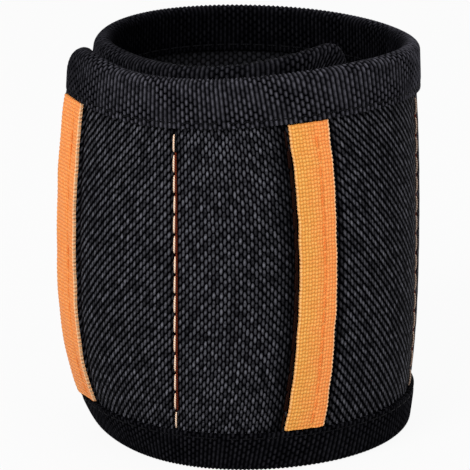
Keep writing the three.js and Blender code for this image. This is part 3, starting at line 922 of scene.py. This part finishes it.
for key, (name, (low, fold)) in enumerate(ribbons.items()):
    across = np.linspace(0, ribbon_width, ribbon_columns)[:, None]
    up = np.linspace(trim_bottom, trim_top, ribbon_rows)[None, :]
    from_side = np.minimum(across, ribbon_width - across)
    from_end = np.minimum(up - trim_bottom, trim_top - up)
    woven_side = 1 - smoothstep(from_side, selvedge * 0.5, selvedge * 1.5)
    # Pale selvedges: partly their own lighter threads and partly a painted highlight, strongest on the
    # right side and on the beads' crests
    selvedge_pale_and_highlight = np.where(across < ribbon_width / 2, dull_selvedge, 1) * woven_side
    beads = np.cos(2 * np.pi * up / edge_bead)
    sway = ribbon_sway * ripple(up, (7, 11, 23), 40 + key)
    scallop = ribbon_scallop * beads * np.sign(across - ribbon_width / 2) * woven_side
    taken_in = ribbon_waist * (1 - (2 * up / band_width - 1) ** 2) * across / ribbon_width
    along = low + across - taken_in + sway + scallop
    frayed = 1 - smoothstep(from_end, 0, fray_reach)
    height = up + fray * frayed * ripple(across, (2.3, 3.7, 6.1), 50 + key)
    from_seam = across / ribbon_width - ribbon_seam_share
    dip = ribbon_seam_dip * np.exp(-((from_seam / ribbon_seam_reach) ** 2))
    bead = bead_height * woven_side * (1 + beads)
    swell = ribbon_swell * ripple(along * 2 + height, (13, 29), 60 + key)
    proud = proud_edges.get(name, 0) * (1 - smoothstep(across, 0, proud_share * ribbon_width))
    fallen_side = side_drop * (1 - smoothstep(from_side, 0, side_reach))
    face = ribbon_outer_depth + dip - bead + swell - proud + fallen_side
    outer = flat_points(along, face, height)
    inner = flat_points(along, face + ribbon_thickness, height)
    cut = flat_points(across + tint_shifts.get(name, 0), 0, up)[..., ::2]
    first = trim_bottom + ribbon_stitch_start
    steps = np.arange(first, trim_top - ribbon_stitch, ribbon_stitch + ribbon_stitch_gap)
    seam_column = round((ribbon_columns - 1) * ribbon_seam_share)
    seam = np.interp(steps, up[0], along[seam_column])
    starts = np.stack([seam, steps], 1)
    ends = starts + np.array([0, ribbon_stitch])
    cloth = slab(outer, inner, cut, selvedge_pale_and_highlight * (1 - bead_shade + bead_shade * beads))
    sewn_at = ribbon_outer_depth + ribbon_seam_dip
    sewing = threads(starts, ends, sewn_at, ribbon_stitch_radius, ribbon_stitch_lift, finish=1)
    finishes = [ribbon_finish, orange_thread]
    ribbon = make_piece(f"{name}_woven", [cloth, sewing], finishes)
    bend(ribbon)
    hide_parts(name)


# Stitch lines between the pockets, with a darker strand beside them that is painted shade
stitch_pitch = 4.6
stitch_length = 3.9
stitch_start = 0.1
stitch_radius = 0.23
stitch_depth = 0.05
stitch_lift = 0.28
stitch_slip = 0.08
stitch_lean = 0.12
# The strand of painted shade beside the stitches
shade_strand_offset = 0.42
shade_strand_radius = 0.3
shade_strand_depth = 0.12
shade_strand_lift = 0.1
shade_strand_start = 0.3
shade_strand_overlap = 0.2
# The second thread of the left and side lines is a rust strand of painted shade
stitch_threads = {
    "stitching_front_left": (peach_thread, rust_shade_thread),
    # The front right line's threads are painted shadow
    "stitching_front_right": (shadow_thread, shadow_thread),
    # The side line's upper thread is the peach thread with painted shade
    "stitching_side": (shaded_peach_thread, rust_shade_thread),
}

for key, (name, (line, fold)) in enumerate(stitch_lines.items()):
    steps = np.arange(trim_bottom + stitch_start, trim_top - stitch_length, stitch_pitch)
    slip = stitch_slip * ripple(steps, (13, 19), 70 + key)
    starts = np.stack([line + slip, steps], 1)
    ends = starts + np.array([stitch_lean, stitch_length])
    shade_strand_starts = np.stack([np.full(steps.shape, line + shade_strand_offset), steps - shade_strand_start], 1)
    shade_strand_ends = shade_strand_starts + np.array([0, stitch_pitch + shade_strand_overlap])
    upper = threads(starts, ends, stitch_depth, stitch_radius, stitch_lift)
    # The strand of painted shade beside the stitches
    lower = threads(shade_strand_starts[1:-1], shade_strand_ends[1:-1], shade_strand_depth, shade_strand_radius, shade_strand_lift, finish=1)
    stitching = make_piece(f"{name}_threads", [upper, lower], stitch_threads[name])
    bend(stitching)
    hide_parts(name)


# Closure: hooks under the flap, drawn coarser than real ones, and loops on the tail
patch_bottom = open_bottom + foam_margin
patch_top = open_top - foam_margin
hook_pitch = 1.7
hook_margin = 1
hook_bend = 0.9
hook_radius = 0.13
hook_height = 0.42
hook_low = start_of["flap"] + foam_margin
hook_high = end_of["flap"] - foam_margin
pile_give = 0.25
tuft_height = 0.22
pile_edge_drop = 0.5
pile_edge_start = 0.3
pile_edge_end = 2


def patch_grid(low, high, step):
    return even(low, high, step)[:, None], even(patch_bottom, patch_top, step)[None, :]


def hook_field(low, high):
    """Rows of small moulded hooks, each a short stem that bends over"""
    along, height = np.meshgrid(
        np.arange(low + hook_margin, high - hook_margin, hook_pitch),
        np.arange(patch_bottom + hook_margin, patch_top - hook_margin, hook_pitch),
    )
    starts = np.stack([along.ravel(), height.ravel()], 1)
    bent = np.where(np.arange(len(starts)) % 2, hook_bend, -hook_bend)
    ends = starts + np.stack([np.zeros(len(starts)), bent], 1)
    return threads(starts, ends, hook_depth + hook_backing, hook_radius, -hook_height)


along, height = patch_grid(hook_low, hook_high, hook_step)
outer = flat_points(along, hook_depth, height)
inner = flat_points(along, hook_depth + hook_backing, height)
backing = slab(outer, inner, outer[..., ::2])
shapes = [backing, hook_field(hook_low, hook_high)]
hook_patch = make_piece("hook_patch_moulded", shapes, [hooks_finish])
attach(hook_patch, "flap")
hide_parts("hook_patch")


def pile_face(along, height):
    """The uneven face of the brushed loops, lower along the patch's sewn edge"""
    rows = ripple(along * 1.3 + height * 0.7, (1.9, 2.9, 4.3), 80)
    tufts = rows * ripple(height * 1.2 - along * 0.5, (2.3, 3.1, 5.3), 81)
    from_edge = np.minimum(height - patch_bottom, patch_top - height)
    low_edge = pile_edge_drop * (1 - smoothstep(from_edge, pile_edge_start, pile_edge_end))
    return loop_backing_depth - loop_height + pile_give + tuft_height * tufts + low_edge


loop_end = band_length - tail_tape_leg - patch_margin
loop_stretches = {
    "tail": (start_of["tail"] + patch_margin, middle_of["tail"], folds[-2]),
    "tip": (middle_of["tail"], loop_end, folds[-1]),
}
for panel, (low, high, fold) in loop_stretches.items():
    along, height = patch_grid(low, high, pile_step)
    outer = flat_points(along, pile_face(along, height), height)
    inner = flat_points(along, loop_backing_depth, height)
    pile = slab(outer, inner, outer[..., ::2])
    loops = make_piece("loop_patch_" + "_".join(fold), [pile], [loops_finish])
    bend(loops)
    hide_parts(f"loop_patch_{panel}")


# Foam pads with a seat for each magnet, and the magnets in them
foam_rounding = 0.35

for name in pockets:
    mesh = frame["nodes"][f"foam_{name}"].data.copy()
    shape = bmesh.new()
    shape.from_mesh(mesh)
    bmesh.ops.remove_doubles(shape, verts=shape.verts, dist=0.001 * MM)
    shape.to_mesh(mesh)
    shape.free()
    mesh.materials.clear()
    mesh.materials.append(foam_finish)
    pad = bpy.data.objects.new(f"foam_pad_{name}", mesh)
    bpy.context.scene.collection.objects.link(pad)
    rounding = pad.modifiers.new("rounding", "BEVEL")
    rounding.width = foam_rounding * MM
    rounding.segments = 2
    rounding.angle_limit = math.radians(50)
    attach(pad, name)
    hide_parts(f"foam_{name}")
    for row in ("bottom", "middle", "top"):
        magnet = frame["nodes"][f"magnet_{name}_{row}"]
        magnet.data.materials.clear()
        magnet.data.materials.append(nickel)


# Camera, at the photograph's height and distance
camera_distance = 0.852
camera_elevation = math.radians(15.5)
camera_azimuth = math.radians(-1.2)
camera_lens = 280.3
camera_sensor = 36
aim_offset = Vector((-0.00049, 0, -0.00075))
ring_middle = Vector((ring_place[0], ring_place[1], MM * band_width / 2))
camera_aim = ring_middle + aim_offset

camera_data = bpy.data.cameras.new("camera")
camera_data.lens = camera_lens
camera_data.sensor_width = camera_sensor
camera_data.clip_end = 20
camera = bpy.data.objects.new("camera", camera_data)
level = camera_distance * math.cos(camera_elevation)
camera.location = ring_middle + Vector(
    (
        level * math.sin(camera_azimuth),
        -level * math.cos(camera_azimuth),
        camera_distance * math.sin(camera_elevation),
    )
)
camera.rotation_euler = (camera_aim - camera.location).to_track_quat("-Z", "Y").to_euler()
bpy.context.scene.collection.objects.link(camera)
bpy.context.scene.camera = camera

# Studio light: a broad key from the upper left, a fill from the right and a soft top light
lamps = {
    "key": ((-0.65, -0.95, 0.9), 0.7, 15.5),
    "fill": ((1.0, -0.9, 0.7), 0.9, 6.5),
    "top": ((0.0, 0.35, 1.3), 1.0, 7),
}
for name, (place, size, power) in lamps.items():
    lamp_data = bpy.data.lights.new(name, "AREA")
    lamp_data.size = size
    lamp_data.energy = power
    lamp = bpy.data.objects.new(name, lamp_data)
    lamp.location = place
    lamp.rotation_euler = (ring_middle - lamp.location).to_track_quat("-Z", "Y").to_euler()
    bpy.context.scene.collection.objects.link(lamp)


def seen_or_mirrored(tree):
    """1 for what the camera sees, straight, in a mirror or through glass, and 0 for light"""
    path = add_node(tree, "LightPath").outputs
    inputs = {0: path["Is Camera Ray"], 1: path["Is Glossy Ray"]}
    seen = add_node(tree, "Math", inputs, operation="MAXIMUM")
    return add_node(tree, "Math", {0: seen, 1: path["Is Transmission Ray"]}, operation="MAXIMUM")


# White surroundings, as seen and as mirrored; the light that they give is lower
surround_light = 0.4
world = bpy.data.worlds.new("studio")
world.use_nodes = True
bpy.context.scene.world = world
tree = world.node_tree
tree.nodes.clear()
levels = {"Value": seen_or_mirrored(tree), "To Min": surround_light, "To Max": 1.0}
strength = add_node(tree, "MapRange", levels)
white = add_node(tree, "Background", {"Color": paint("#ffffff"), "Strength": strength})
add_node(tree, "OutputWorld", {"Surface": white})

# Floor: pale paper, and most of what is seen of it glows white, so that its shadow stays faint
floor_glow = 0.93
floor_mesh = bpy.data.meshes.new("floor")
floor_corners = [(-6, -6, 0), (6, -6, 0), (6, 6, 0), (-6, 6, 0)]
floor_mesh.from_pydata(floor_corners, [], [(0, 1, 2, 3)])
floor = bpy.data.objects.new("floor", floor_mesh)
bpy.context.scene.collection.objects.link(floor)
paper, tree = new_material("white_paper_floor")
lit = add_node(tree, "BsdfDiffuse", {"Color": paint("#b8b8b8")})
glow = add_node(tree, "Emission", {"Color": paint("#ffffff"), "Strength": 1.0})
share = add_node(tree, "Math", {0: seen_or_mirrored(tree), 1: floor_glow}, operation="MULTIPLY")
add_node(tree, "OutputMaterial", {"Surface": add_node(tree, "MixShader", {0: share, 1: lit, 2: glow})})
floor_mesh.materials.append(paper)

bpy.context.scene.view_settings.view_transform = "Standard"
